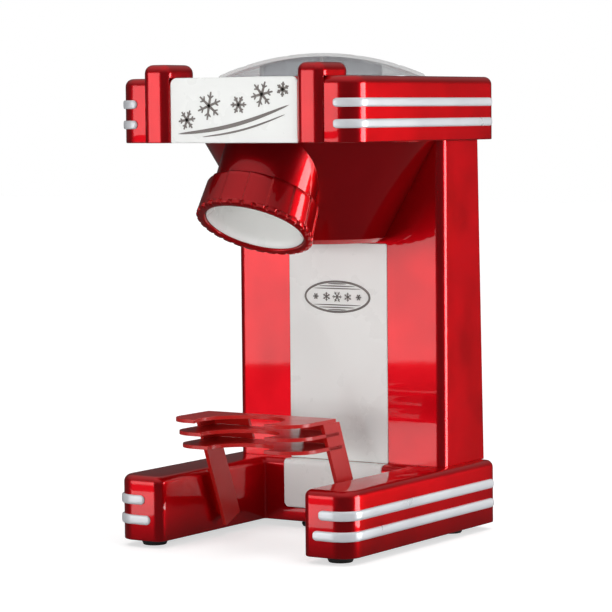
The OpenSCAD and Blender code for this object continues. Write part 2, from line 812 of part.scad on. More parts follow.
// The leaning web behind the gap under plate i
module holder_web(i) {
    z1 = plate_top_z - i * plate_pitch - plate_t;
    z0 = z1 - plate_pitch + plate_t;
    intersection() {
        strut_frame() block([web_in_x, strut_w - 2.2, -60], [strut_in_x + eps, strut_w, 20]);
        block([0, -100, z0], [100, 0, z1]);
    }
}

// The right side of the holder: its strut, the rib that runs in the leg's groove, and two webs
module holder_side() {
    holder_strut();
    strut_frame() block([plate_half_w - eps, (strut_w - rail_w) / 2, rib_low],
        [leg_in_x + wall - 0.5, (strut_w + rail_w) / 2, rib_low + rib_l]);
    for (i = [0, 1]) holder_web(i);
}

module holder_plate_high() {
    color(plain_red) holder_plate(0);
}

module holder_plate_mid() {
    color(plain_red) holder_plate(1);
}

module holder_plate_low() {
    color(plain_red) holder_plate(2);
}

module holder_side_left() {
    color(plain_red) mirror([1, 0, 0]) holder_side();
}

module holder_side_right() {
    color(plain_red) holder_side();
}

base_shell();
base_floor();
floor_screws();
feet();
leg_stripes();
base_front_panel();
column_shell();
column_front_panel();
badge_plate();
rear_cover();
rear_screws();
cord_gland();
head_shell();
head_floor();
fin_left();
fin_right();
head_front_panel();
head_stripes();
chute_housing();
chute_liner();
grip_ring();
hopper_bowl();
shaving_blade();
blade_screws();
lid_dome();
lid_presser();
rotor_paddle();
rotor_shaft();
rotor_gear();
upper_bush();
lower_bush();
gear_frame();
gear_cover();
frame_screws();
motor_can();
motor_shaft();
motor_pinion();
switch_body();
switch_plunger();
holder_plate_high();
holder_plate_mid();
holder_plate_low();
holder_side_left();
holder_side_right();
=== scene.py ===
"""Looks of a table-top shaved ice machine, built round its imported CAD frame.

Shapes are worked out in millimetres and laid down in metres. Front is -Y, right is +X and the feet
stand on Z = 0. Every new piece is a numpy surface; the inner parts keep their CAD meshes.
"""

import logging
import math
from dataclasses import dataclass, field
from enum import Enum

import bmesh
import bpy
import numpy as np
from mathutils import Matrix, Vector

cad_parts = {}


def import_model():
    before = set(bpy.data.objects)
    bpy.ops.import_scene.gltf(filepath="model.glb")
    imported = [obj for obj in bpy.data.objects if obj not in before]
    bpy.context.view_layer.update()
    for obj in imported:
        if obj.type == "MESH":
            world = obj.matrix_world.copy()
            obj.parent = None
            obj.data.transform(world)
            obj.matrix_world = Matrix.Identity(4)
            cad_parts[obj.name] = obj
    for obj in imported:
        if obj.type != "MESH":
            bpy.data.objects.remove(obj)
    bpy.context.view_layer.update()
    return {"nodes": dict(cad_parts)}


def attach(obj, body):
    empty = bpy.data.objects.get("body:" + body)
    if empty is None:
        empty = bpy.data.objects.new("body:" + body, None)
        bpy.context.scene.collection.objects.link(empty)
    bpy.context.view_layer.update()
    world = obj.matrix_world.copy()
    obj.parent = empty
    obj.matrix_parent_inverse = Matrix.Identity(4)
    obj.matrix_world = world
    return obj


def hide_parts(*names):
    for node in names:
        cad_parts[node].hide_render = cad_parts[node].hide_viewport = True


LOG = logging.getLogger("shaved_ice_machine")
MM = 0.001
ROOT_BODY = "machine"
LID_BODY = "lid"
RING_BODY = "collar"
WHITE = (1.0, 1.0, 1.0, 1.0)
PLATE_T = 1.4
SMOOTH_DEG = 38.0


class Slot(Enum):
    """Material slots of the record."""

    CANDY_RED = "candy_red"
    PANEL_WHITE = "panel_white"
    SILVER_STRIPE = "silver_stripe"
    HOLDER_RED = "holder_red"
    FOOT_RUBBER = "foot_rubber"
    DARK_PLASTIC = "dark_plastic"
    CLEAR_LID = "clear_lid"
    STEEL = "steel"
    GEAR_PLASTIC = "gear_plastic"
    BRONZE = "bronze"
    BADGE_INK = "badge_ink"


# ---- surfaces ----


@dataclass(frozen=True)
class Surface:
    """A mesh in millimetres.

    Attributes:
        points: one row of x, y, z for each vertex.
        faces: lists of vertex numbers.
    """

    points: np.ndarray
    faces: list

    def placed(self, matrix: Matrix) -> "Surface":
        """The same surface turned and moved by a placement in millimetres."""
        m = np.array(matrix)
        return Surface(self.points @ m[:3, :3].T + m[:3, 3], self.faces)

    def mirrored(self) -> "Surface":
        """The mirror image across the plane X = 0."""
        return Surface(self.points * np.array([-1.0, 1.0, 1.0]), [face[::-1] for face in self.faces])


def joined(*surfaces: Surface) -> Surface:
    """Several surfaces as one.

    Args:
        *surfaces: the surfaces to put together.

    Returns:
        One surface with all their points and faces.
    """
    starts = np.cumsum([0] + [len(s.points) for s in surfaces[:-1]])
    faces = [[int(i + start) for i in face] for s, start in zip(surfaces, starts) for face in s.faces]
    return Surface(np.concatenate([s.points for s in surfaces]), faces)


def paired(surfaces: list) -> Surface:
    """Right-hand surfaces and their mirror images, as one surface."""
    return joined(*surfaces, *[surface.mirrored() for surface in surfaces])


def grid_surface(
    grid: np.ndarray, closed_u: bool = False, closed_v: bool = True, capped: bool = False
) -> Surface:
    """Quads over a grid of points.

    Args:
        grid: points as rows (u) by columns (v) by 3.
        closed_u: joins the last row to the first.
        closed_v: joins the last column to the first.
        capped: closes the first and the last row with one face each.

    Returns:
        The surface over the grid.
    """
    rows, columns = grid.shape[:2]
    index = np.arange(rows * columns).reshape(rows, columns)
    below = index if closed_u else index[:-1]
    above = np.roll(index, -1, axis=0) if closed_u else index[1:]
    corners = [below, np.roll(below, -1, axis=1), np.roll(above, -1, axis=1), above]
    quads = np.stack(corners, axis=-1)
    quads = quads if closed_v else quads[:, :-1]
    faces = quads.reshape(-1, 4).tolist()
    if capped:
        faces += [index[0, ::-1].tolist(), index[-1].tolist()]
    return Surface(grid.reshape(-1, 3), faces)


@dataclass(frozen=True)
class Outline:
    """A closed plane curve, walked anticlockwise.

    Attributes:
        points: one row of two coordinates for each point.
        normals: unit vectors that point outwards.
    """

    points: np.ndarray
    normals: np.ndarray

    @staticmethod
    def rounded(corners: list, radii: list, arc_steps: int = 10, side_steps: int = 2) -> "Outline":
        """A polygon with round corners.

        At each corner a circle touches both sides: its centre lies on the bisector at radius over the sine
        of half the angle, and the arc turns from one side's normal to the other's.

        Args:
            corners: the polygon's corners, anticlockwise.
            radii: one radius for each corner.
            arc_steps: points on each arc.
            side_steps: points added on each straight side.

        Returns:
            The outline.
        """
        corner = np.asarray(corners, float)
        radius = np.asarray(radii, float)[:, None]
        back = np.roll(corner, 1, axis=0) - corner
        ahead = np.roll(corner, -1, axis=0) - corner
        back /= np.linalg.norm(back, axis=1, keepdims=True)
        ahead /= np.linalg.norm(ahead, axis=1, keepdims=True)
        half = np.arccos(np.clip((back * ahead).sum(1, keepdims=True), -1, 1)) / 2
        bisector = (back + ahead) / np.linalg.norm(back + ahead, axis=1, keepdims=True)
        centre = corner + bisector * radius / np.sin(half)
        normal_in = np.stack([-back[:, 1], back[:, 0]], 1)
        normal_out = np.stack([ahead[:, 1], -ahead[:, 0]], 1)
        start = np.arctan2(normal_in[:, 1], normal_in[:, 0])
        turn = np.arctan2(normal_out[:, 1], normal_out[:, 0]) - start
        turn = (turn + np.pi) % (2 * np.pi) - np.pi
        angle = start[:, None] + turn[:, None] * np.linspace(0, 1, arc_steps)
        arc_normal = np.stack([np.cos(angle), np.sin(angle)], -1)
        arc = centre[:, None] + np.sign(turn)[:, None, None] * radius[:, None] * arc_normal
        step = np.linspace(0, 1, side_steps + 2)[1:-1, None]
        side = arc[:, -1:] * (1 - step) + np.roll(arc[:, :1], -1, axis=0) * step
        side_normal = np.repeat(normal_out[:, None], side_steps, axis=1)
        points = np.concatenate([arc, side], axis=1).reshape(-1, 2)
        return Outline(points, np.concatenate([arc_normal, side_normal], axis=1).reshape(-1, 2))

    @staticmethod
    def rectangle(low: tuple, high: tuple, radii: list, arc_steps: int, side_steps: int) -> "Outline":
        """A rectangle between two corners, with one radius for each corner, anticlockwise from low."""
        corners = [low, (high[0], low[1]), high, (low[0], high[1])]
        return Outline.rounded(corners, radii, arc_steps, side_steps)

    @staticmethod
    def ellipse(half_w: float, half_h: float, steps: int = 96) -> "Outline":
        """An ellipse about the origin, with its normals along (x / a squared, y / b squared).

        Args:
            half_w: half its width.
            half_h: half its height.
            steps: number of points.

        Returns:
            The outline.
        """
        angle = np.linspace(0, 2 * np.pi, steps, endpoint=False)
        points = np.stack([half_w * np.cos(angle), half_h * np.sin(angle)], 1)
        normals = points / np.array([half_w**2, half_h**2])
        return Outline(points, normals / np.linalg.norm(normals, axis=1, keepdims=True))

    def swept(self, profile: np.ndarray) -> np.ndarray:
        """The grid of the outline drawn in and raised along a profile.

        Args:
            profile: rows of how far the outline is drawn in, and its height.

        Returns:
            Points as profile rows by outline points by 3.
        """
        return lifted(self.points[None] - self.normals[None] * profile[:, :1, None], profile[:, 1])


def lifted(plan: np.ndarray, heights: np.ndarray) -> np.ndarray:
    """Rows of plan points, each row at its own height.

    Args:
        plan: points as rows by columns by 2.
        heights: one height for each row.

    Returns:
        Points as rows by columns by 3.
    """
    return np.concatenate([plan, np.broadcast_to(heights[:, None, None], plan.shape[:2] + (1,))], axis=-1)


def round_high(radius: float, height: float, steps: int = 6) -> np.ndarray:
    """A quarter round that draws in by radius while it rises to height, as rows of (draw in, height)."""
    a = np.linspace(0, np.pi / 2, steps)
    return np.stack([radius * (1 - np.cos(a)), radius * np.sin(a)], 1) + np.array([0, height - radius])


def round_low(radius: float, height: float, steps: int = 6) -> np.ndarray:
    """The same upside down: it starts drawn in at height and comes out as it rises by radius."""
    a = np.linspace(0, np.pi / 2, steps)[::-1]
    return np.stack([radius * (1 - np.cos(a)), -radius * np.sin(a)], 1) + np.array([0, height + radius])


def slab(outline: Outline, thickness: float, edge_low: float, edge_high: float) -> Surface:
    """A plate with round edges: the outline swept up from height 0 and capped at both ends.

    Args:
        outline: its plan.
        thickness: its height.
        edge_low: radius of the lower edge.
        edge_high: radius of the upper edge.

    Returns:
        The plate, upright on height 0.
    """
    profile = np.concatenate([round_low(edge_low, 0), round_high(edge_high, thickness)])
    return grid_surface(outline.swept(profile), capped=True)


def revolved(profile: np.ndarray, steps: int) -> Surface:
    """A profile turned about the Z axis; points at radius 0 become poles.

    Args:
        profile: rows of radius and height.
        steps: divisions round the axis.

    Returns:
        The surface.
    """
    angle = np.linspace(0, 2 * np.pi, steps, endpoint=False)
    round_axis = np.stack([np.cos(angle), np.sin(angle)], 1)
    return grid_surface(lifted(profile[:, :1, None] * round_axis[None], profile[:, 1]))


def upright(y: float) -> Matrix:
    """Stands a plan against the wall at y: plan (x, y) becomes (x, z) and height grows to -Y."""
    return Matrix(((1, 0, 0, 0), (0, 0, -1, y), (0, 1, 0, 0), (0, 0, 0, 1)))


def box_surface(low: tuple, high: tuple) -> Surface:
    """A plain box between two corners, used only to cut with."""
    outline = Outline.rectangle(low[:2], high[:2], [0.01] * 4, 2, 0)
    return grid_surface(outline.swept(np.array([[0.0, low[2]], [0.0, high[2]]])), capped=True)


def wall_plate(outline: Outline, front_y: float, edge: float) -> Surface:
    """A thin plate on a wall, with its front at front_y and a front edge of radius edge."""
    return slab(outline, PLATE_T, 0.2, edge).placed(upright(front_y + PLATE_T))


# ---- objects ----


def mesh_object(name: str, surface: Surface, smooth_deg: float = SMOOTH_DEG) -> bpy.types.Object:
    """A Blender object of a surface, with doubles merged and faces turned outwards.

    Args:
        name: the object's name.
        surface: its shape in millimetres.
        smooth_deg: edges turned by more than this angle stay sharp.

    Returns:
        The object, at the origin, unturned.
    """
    mesh = bpy.data.meshes.new(name)
    mesh.from_pydata((surface.points * MM).tolist(), [], surface.faces)
    work = bmesh.new()
    work.from_mesh(mesh)
    bmesh.ops.remove_doubles(work, verts=work.verts, dist=0.002 * MM)
    bmesh.ops.dissolve_degenerate(work, edges=work.edges, dist=0.001 * MM)
    bmesh.ops.recalc_face_normals(work, faces=work.faces)
    work.to_mesh(mesh)
    work.free()
    mesh.shade_smooth()
    mesh.set_sharp_from_angle(angle=math.radians(smooth_deg))
    obj = bpy.data.objects.new(name, mesh)
    bpy.context.scene.collection.objects.link(obj)
    return obj


def carve(obj: bpy.types.Object, cutters: list) -> None:
    """Cuts closed surfaces out of an object and keeps the result as its mesh.

    Args:
        obj: the object to cut.
        cutters: the surfaces taken away, one after the other.
    """
    for cutter in cutters:
        tool = mesh_object(f"{obj.name}_cutter", cutter)
        cut = obj.modifiers.new("cut", "BOOLEAN")
        cut.operation, cut.solver, cut.object = "DIFFERENCE", "EXACT", tool
        graph = bpy.context.evaluated_depsgraph_get()
        mesh = bpy.data.meshes.new_from_object(obj.evaluated_get(graph))
        obj.modifiers.remove(cut)
        obj.data = mesh
        bpy.data.objects.remove(tool)
    obj.data.shade_smooth()
    obj.data.set_sharp_from_angle(angle=math.radians(SMOOTH_DEG))


# ---- finishes ----


class Graph:
    """Builds the nodes of a material or a world.

    Attributes:
        owner: the material or world being built.
        tree: its nodes and links.
    """

    def __init__(self, owner: bpy.types.Material | bpy.types.World) -> None:
        """Empties the owner's nodes.

        Args:
            owner: a new material or world.
        """
        self.owner = owner
        owner.use_nodes = True
        self.tree = owner.node_tree
        self.tree.nodes.clear()

    def add(self, kind: str, inputs: dict | None = None, **settings: object) -> bpy.types.Node:
        """Adds a node.

        Args:
            kind: the node's type.
            inputs: a value, or a socket to link, for each input name or number.
            **settings: properties of the node.

        Returns:
            The node.
        """
        node = self.tree.nodes.new(kind)
        for key, value in settings.items():
            setattr(node, key, value)
        for key, value in (inputs or {}).items():
            if isinstance(value, bpy.types.NodeSocket):
                self.tree.links.new(value, node.inputs[key])
            else:
                node.inputs[key].default_value = value
        return node

    def coordinates(self, stretch: tuple = (1.0, 1.0, 1.0)) -> bpy.types.NodeSocket:
        """Object coordinates in metres, stretched along each axis."""
        place = self.add("ShaderNodeTexCoord").outputs["Object"]
        return self.add("ShaderNodeMapping", {"Vector": place, "Scale": stretch}).outputs[0]

    def noise(
        self, scale: float, detail: float = 3.0, stretch: tuple = (1.0, 1.0, 1.0)
    ) -> bpy.types.NodeSocket:
        """Noise between 0 and 1 with that many waves a metre."""
        inputs = {"Vector": self.coordinates(stretch), "Scale": scale, "Detail": detail}
        return self.add("ShaderNodeTexNoise", inputs).outputs["Fac"]

    def ranged(
        self, value: bpy.types.NodeSocket, low: float, high: float, out_low: float, out_high: float
    ) -> bpy.types.NodeSocket:
        """A value mapped from one range to another, held at the ends."""
        inputs = {"Value": value, "From Min": low, "From Max": high, "To Min": out_low, "To Max": out_high}
        return self.add("ShaderNodeMapRange", inputs).outputs["Result"]

    def mixed(self, factor: object, first: object, second: object) -> bpy.types.NodeSocket:
        """A mix of two colours."""
        return self.add("ShaderNodeMix", {0: factor, 6: first, 7: second}, data_type="RGBA").outputs[2]

    def product(self, first: object, second: object) -> bpy.types.NodeSocket:
        """Two values multiplied."""
        return self.add("ShaderNodeMath", {0: first, 1: second}, operation="MULTIPLY").outputs[0]

    def bump(
        self, height: bpy.types.NodeSocket, depth: float, normal: bpy.types.NodeSocket
    ) -> bpy.types.NodeSocket:
        """A normal bent by a height; depth is in metres."""
        inputs = {"Height": height, "Distance": depth, "Strength": 1.0, "Normal": normal}
        return self.add("ShaderNodeBump", inputs).outputs["Normal"]

    def soft_edges(self, radius: float) -> tuple:
        """Rounded normals near edges.

        Args:
            radius: of the rounding, in metres.

        Returns:
            The rounded normal, and a mask that is 1 on edges and 0 elsewhere.
        """
        soft = self.add("ShaderNodeBevel", {"Radius": radius}, samples=4).outputs["Normal"]
        flat = self.add("ShaderNodeNewGeometry").outputs["Normal"]
        match = self.add("ShaderNodeVectorMath", {0: soft, 1: flat}, operation="DOT_PRODUCT")
        return soft, self.ranged(match.outputs["Value"], 0.997, 0.93, 0.0, 1.0)


@dataclass(frozen=True)
class Finish:
    """A moulded, painted or machined finish.

    Attributes:
        name: the material's name.
        colour: its main linear colour.
        shade: the colour it drifts towards.
        wear_and_highlight: the lighter colour on its edges, partly wear and partly a painted highlight; fine
            flakes take it too.
        metallic: share of metal.
        roughness: lowest and highest roughness.
        coat: weight of the clear coat.
        coat_roughness: roughness of the clear coat.
        peel: waves a metre and depth in metres of the surface's ripple.
        grain: waves a metre and depth in metres of its fine texture.
        stretch: stretch of the grain, for brushed or drawn surfaces.
        edge_radius: radius of the soft edges, in metres.
        flakes: how far fine flakes lighten the colour.
        alpha: opacity.
        tint: colour of reflections seen at a slant.
    """

    name: str
    colour: tuple
    shade: tuple
    wear_and_highlight: tuple
    metallic: float = 0.0
    roughness: tuple = (0.25, 0.4)
    coat: float = 0.0
    coat_roughness: float = 0.05
    peel: tuple = (180.0, 0.0000025)
    grain: tuple = (2600.0, 0.0000008)
    stretch: tuple = (1.0, 1.0, 1.0)
    edge_radius: float = 0.0006
    flakes: float = 0.0
    alpha: float = 1.0
    tint: tuple = (1.0, 1.0, 1.0)

    def build(self) -> bpy.types.Material:
        """Builds the material.

        Drift of colour, smudges in the roughness, a long ripple, a fine grain and lighter edges come from
        separate noises in object coordinates; the lighter edges are partly wear and partly a painted
        highlight.

        Returns:
            The material.
        """
        graph = Graph(bpy.data.materials.new(self.name))
        soft, edge = graph.soft_edges(self.edge_radius)
        drift = graph.ranged(graph.noise(14.0), 0.35, 0.65, 0.0, 1.0)
        colour = graph.mixed(drift, self.colour + (1.0,), self.shade + (1.0,))
        if self.flakes:
            cells = graph.add("ShaderNodeTexVoronoi", {"Vector": graph.coordinates(), "Scale": 5200.0})
            spark = graph.ranged(cells.outputs["Color"], 0.6, 1.0, 0.0, self.flakes)
            colour = graph.mixed(spark, colour, self.wear_and_highlight + (1.0,))
        patchy = graph.ranged(graph.noise(420.0, 5.0), 0.42, 0.62, 0.0, 0.6)
        # Edges lighten in patches: partly wear, partly a painted highlight along each rim.
        colour = graph.mixed(graph.product(edge, patchy), colour, self.wear_and_highlight + (1.0,))
        smudge = graph.ranged(graph.noise(38.0, 6.0), 0.3, 0.7, *self.roughness)
        ripple = graph.bump(graph.noise(self.peel[0], 2.0), self.peel[1], soft)
        normal = graph.bump(graph.noise(self.grain[0], 4.0, self.stretch), self.grain[1], ripple)
        shader = graph.add("ShaderNodeBsdfPrincipled", {
            "Base Color": colour,
            "Metallic": self.metallic,
            "Roughness": smudge,
            "Normal": normal,
            "Coat Weight": self.coat,
            "Coat Roughness": self.coat_roughness,
            "Coat Normal": ripple,
            "Alpha": self.alpha,
            "Specular Tint": self.tint + (1.0,),
        })
        graph.add("ShaderNodeOutputMaterial", {"Surface": shader.outputs[0]})
        return graph.owner


# The third colour of each finish lightens its edges: partly wear, partly a painted highlight.
FINISHES = {
    Slot.CANDY_RED: Finish(
        "candy_red_coat", (0.78, 0.003, 0.012), (0.66, 0.002, 0.008), (1.0, 0.06, 0.04), metallic=0.88,
        roughness=(0.3, 0.38), coat=1.0, coat_roughness=0.03, flakes=0.1, edge_radius=0.0009,
        tint=(1.0, 0.03, 0.04),
    ),
    Slot.PANEL_WHITE: Finish(
        "gloss_white_panel", (0.92, 0.93, 0.91), (0.89, 0.9, 0.88), (0.95, 0.96, 0.94),
        roughness=(0.22, 0.36), coat=0.35, coat_roughness=0.12,
    ),
    Slot.SILVER_STRIPE: Finish(
        "satin_silver_stripe", (0.82, 0.83, 0.86), (0.74, 0.76, 0.8), (0.95, 0.95, 0.96), metallic=0.35,
        roughness=(0.26, 0.42), coat=0.3, coat_roughness=0.1, stretch=(1.0, 1.0, 12.0),
    ),
    Slot.HOLDER_RED: Finish(
        "moulded_red_holder", (0.55, 0.012, 0.01), (0.47, 0.008, 0.008), (0.8, 0.12, 0.08),
        roughness=(0.28, 0.42), coat=0.25, coat_roughness=0.15, peel=(340.0, 0.000006),
    ),
    Slot.FOOT_RUBBER: Finish(
        "black_foot_rubber", (0.018, 0.018, 0.019), (0.03, 0.029, 0.028), (0.08, 0.08, 0.08),
        roughness=(0.5, 0.75), grain=(3200.0, 0.00003),
    ),
    Slot.DARK_PLASTIC: Finish(
        "dark_moulded_plastic", (0.03, 0.03, 0.032), (0.045, 0.044, 0.046), (0.12, 0.12, 0.12),
        roughness=(0.4, 0.6), grain=(1800.0, 0.00003),
    ),
    Slot.STEEL: Finish(
        "brushed_steel", (0.6, 0.61, 0.63), (0.5, 0.51, 0.54), (0.8, 0.8, 0.81), metallic=1.0,
        roughness=(0.18, 0.36), grain=(1600.0, 0.00001), stretch=(1.0, 14.0, 14.0), edge_radius=0.0003,
    ),
    Slot.GEAR_PLASTIC: Finish(
        "natural_gear_plastic", (0.74, 0.72, 0.62), (0.68, 0.65, 0.55), (0.85, 0.84, 0.78),
        roughness=(0.35, 0.5), edge_radius=0.0003,
    ),
    Slot.BRONZE: Finish(
        "sintered_bronze", (0.42, 0.24, 0.08), (0.33, 0.19, 0.07), (0.6, 0.42, 0.2), metallic=1.0,
        roughness=(0.3, 0.5), grain=(3000.0, 0.00004), edge_radius=0.0003,
    ),
    Slot.BADGE_INK: Finish(
        "warm_grey_ink", (0.15, 0.13, 0.12), (0.19, 0.165, 0.15), (0.3, 0.28, 0.26),
        roughness=(0.3, 0.45), coat=0.2, edge_radius=0.0002,
    ),
    Slot.CLEAR_LID: Finish(
        "smoky_clear_lid", (0.6, 0.62, 0.66), (0.3, 0.32, 0.36), (0.9, 0.91, 0.93), metallic=0.8,
        roughness=(0.03, 0.09), coat=1.0, coat_roughness=0.03, peel=(46.0, 0.0005),
        grain=(900.0, 0.000002), stretch=(1.0, 1.0, 6.0), alpha=0.26,
    ),
}


@dataclass
class Paintbox:
    """Makes each finish once and puts it on pieces and CAD nodes.

    Attributes:
        made: the materials made so far.
    """

    made: dict = field(default_factory=dict)

    def material(self, slot: Slot) -> bpy.types.Material:
        """The material of a slot, built when first asked for.

        Args:
            slot: the slot.

        Returns:
            Its material.
        """
        if slot not in self.made:
            self.made[slot] = FINISHES[slot].build()
        return self.made[slot]

    def dress(self, obj: bpy.types.Object, slot: Slot) -> None:
        """Gives a piece or a CAD node one finish through its material slots."""
        obj.data.materials.clear()
        obj.data.materials.append(self.material(slot))

    def lay(self, obj: bpy.types.Object, slot: Slot, *nodes: str, body: str = ROOT_BODY) -> None:
        """Finishes a new piece, hangs it on the body it rides on and hides the CAD nodes it stands for.

        Args:
            obj: the piece.
            slot: its finish.
            *nodes: the CAD nodes it stands for.
            body: the CAD body it moves with.
        """
        self.dress(obj, slot)
        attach(obj, body)
        if nodes:
            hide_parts(*nodes)
        LOG.info("%s: %d faces on %s", obj.name, len(obj.data.polygons), body)


# ---- sub-assemblies ----


@dataclass(frozen=True)
class StripeBand:
    """A silver stripe that wraps a front corner and runs back along the side.

    Attributes:
        start_x: where it starts on the front, from the middle.
        side_x: the side wall it runs on.
        front_y: the front wall it starts on.
        corner_r: radius of the corner it wraps.
        end_y: its rear end.
        low_z: its lowest edge.
        height: its height.
        proud: how far it stands proud.
    """

    start_x: float
    side_x: float
    front_y: float
    corner_r: float
    end_y: float
    low_z: float
    height: float
    proud: float = 1.6

    def surface(self) -> Surface:
        """The right-hand stripe.

        The path's point at distance s is moved out along the wall's normal by proud times the square root
        of sin v, and up by half the height times the signed root of cos v. Towards both ends the half
        height follows a half circle.

        Returns:
            The stripe as a closed surface.
        """
        half = self.height / 2
        straight = self.side_x - self.corner_r - self.start_x
        bend = self.corner_r * math.pi / 2
        centre_y = self.front_y + self.corner_r
        total = straight + bend + self.end_y - centre_y
        tip = half * (1 - np.cos(np.linspace(0, np.pi / 2, 9)))
        around = np.linspace(half, straight + bend, 34)[1:]
        behind = np.linspace(straight + bend, total - half, 12)[1:-1]
        s = np.concatenate([tip, around, behind, total - tip[::-1]])
        angle = np.clip((s - straight) / self.corner_r, 0, np.pi / 2)
        normal = np.stack([np.sin(angle), -np.cos(angle)], 1)
        along_front = np.minimum(s - straight, 0)
        along_side = np.maximum(s - straight - bend, 0)
        spine = np.stack([self.side_x - self.corner_r + along_front, centre_y + along_side], 1)
        path = spine + self.corner_r * normal
        reach = np.clip(np.minimum(s, total - s), 0, half)
        half_height = np.sqrt(np.maximum(half**2 - (half - reach) ** 2, 0))
        v = np.linspace(0, np.pi, 15)
        rise = np.sign(np.cos(v)) * np.abs(np.cos(v)) ** 0.6
        out = self.proud * np.sin(v).clip(0) ** 0.5
        swell = np.sqrt(np.clip(reach / 0.9, 0, 1))
        plan = path[:, None] + normal[:, None] * (out[None] * swell[:, None])[..., None]
        z = self.low_z + half + half_height[:, None] * rise[None]
        return grid_surface(np.concatenate([plan, z[..., None]], axis=-1))


@dataclass(frozen=True)
class Base:
    """The red base with its two legs, white block, stripes and feet.

    Attributes:
        half_w: half the width.
        half_d: half the depth.
        leg_in_x: inner wall of a leg from the middle.
        beam_y: front face of the cross beam.
        low_z: underside.
        top_z: top.
        top_r: radius of the top edge.
        corner_r: outer front corner radius.
        inner_r: inner front corner radius.
        panel_half: half the width of the white block.
        panel_low_z: underside of the white block.
        ledge_y: rear end of the white block's ledge.
        block_r: radius of the quarter circle at the white block's foot.
        recess_half: half the width of the recess that the white block stands in.
        groove_at: where the grooves for the cone holder start.
        groove_lean: lean of these grooves in degrees.
        stripe_places: start on the leg's front and lowest edge of each stripe.
        stripe_h: height of a stripe.
        stripe_end_y: rear end of the stripes.
        feet: places of the feet on the right.
    """

    half_w: float = 91.0
    half_d: float = 95.0
    leg_in_x: float = 55.3
    beam_y: float = 29.0
    low_z: float = 4.5
    top_z: float = 47.5
    top_r: float = 5.0
    corner_r: float = 13.0
    inner_r: float = 6.0
    panel_half: float = 39.1
    panel_low_z: float = 14.1
    ledge_y: float = 37.6
    block_r: float = 4.0
    recess_half: float = 39.2
    groove_at: tuple = (0.0, -62.0, 87.2)
    groove_lean: float = 22.6
    stripe_places: tuple = ((63.5, 15.4), (68.0, 28.6))
    stripe_h: float = 6.3
    stripe_end_y: float = 90.3
    feet: tuple = ((73.0, -77.0), (73.0, 63.0), (24.0, 43.0))

    def outline(self) -> Outline:
        """The plan: two legs and the cross beam.

        Returns:
            The outline.
        """
        corners = [
            (-self.half_w, -self.half_d), (-self.leg_in_x, -self.half_d), (-self.leg_in_x, self.beam_y),
            (self.leg_in_x, self.beam_y), (self.leg_in_x, -self.half_d), (self.half_w, -self.half_d),
            (self.half_w, self.half_d), (-self.half_w, self.half_d),
        ]
        radii = [self.corner_r, self.inner_r, 1.5, 1.5, self.inner_r, self.corner_r, 5.4, 5.4]
        return Outline.rounded(corners, radii, arc_steps=12, side_steps=24)

    def shell(self) -> Surface:
        """The moulding: wall, round top edge and a hollow underside.

        Returns:
            The moulding as a closed surface.
        """
        low = self.low_z
        rim = np.array([[2.4, 42.0], [2.4, low], [0.8, low], [0.2, low + 0.3], [0.0, low + 0.9]])
        profile = np.concatenate([rim, round_high(self.top_r, self.top_z, 9)])
        return grid_surface(self.outline().swept(profile), capped=True)

    def grooves(self) -> list:
        """What is cut out: leaning grooves for the holder's ribs, and the recess of the white block.

        Returns:
            The surfaces to cut with.
        """
        lean = Matrix.Translation(self.groove_at) @ Matrix.Rotation(math.radians(self.groove_lean), 4, "X")
        groove = box_surface((self.leg_in_x - 1, 6.0, -82.0), (self.leg_in_x + 2.1, 12.0, 0.0))
        groove = groove.placed(lean)
        half = self.recess_half
        front = box_surface((-half, 28.0, 14.0), (half, 30.5, 48.5))
        ledge = box_surface((-half, 29.0, 46.0), (half, 38.5, 48.5))
        return [groove, groove.mirrored(), front, ledge]

    def panel(self) -> Surface:
        """The white block: an angle section run across, narrowing in a quarter circle at its foot.

        Returns:
            The block as a closed surface.
        """
        front = self.beam_y - 0.8
        back, under = 30.4, 46.1
        corners = [
            (front, self.panel_low_z), (back, self.panel_low_z), (back, under),
            (self.ledge_y, under), (self.ledge_y, self.top_z), (front, self.top_z),
        ]
        outline = Outline.rounded(corners, [0.9, 0.5, 0.3, 0.3, 0.3, 3.2], arc_steps=7, side_steps=14)
        edge, radius = 0.8, self.block_r
        profile = [round_low(edge, -self.panel_half), round_high(edge, self.panel_half)]
        grid = outline.swept(np.concatenate(profile))[..., [2, 0, 1]]
        foot = np.clip(radius - (grid[..., 2] - self.panel_low_z), 0, radius)
        grid[..., 0] *= 1 - (radius - np.sqrt(radius**2 - foot**2)) / self.panel_half
        return grid_surface(grid, capped=True)

    def foot(self) -> Surface:
        """One rubber foot, turned from its profile, with a groove round its waist.

        Returns:
            The foot about its own axis.
        """
        profile = [
            (0, 0.5), (5.2, 0.5), (5.8, 0), (7.4, 0), (7.8, 0.3), (8.5, 2.0), (8.3, 2.5), (7.2, 2.8),
            (7.0, 3.1), (7.0, 4.5), (0, 4.5),
        ]
        return revolved(np.array(profile, float), 64)

    def stripes(self) -> list:
        """The stripes of the right leg, one surface each."""
        sides = (self.half_w, -self.half_d, self.corner_r, self.stripe_end_y)
        return [StripeBand(x, *sides, low, self.stripe_h).surface() for x, low in self.stripe_places]

    def build(self, paint: Paintbox) -> None:
        """Lays down the base's pieces.

        Args:
            paint: the finishes.
        """
        shell = mesh_object("base_shell_look", self.shell())
        carve(shell, self.grooves())
        paint.lay(shell, Slot.CANDY_RED, "base_shell")
        paint.lay(mesh_object("base_panel_look", self.panel()), Slot.PANEL_WHITE, "base_front_panel")
        stripes = mesh_object("leg_stripes_look", paired(self.stripes()))
        paint.lay(stripes, Slot.SILVER_STRIPE, "leg_stripes")
        right = [self.foot().placed(Matrix.Translation((x, y, 0))) for x, y in self.feet]
        paint.lay(mesh_object("feet_look", paired(right)), Slot.FOOT_RUBBER, "feet")


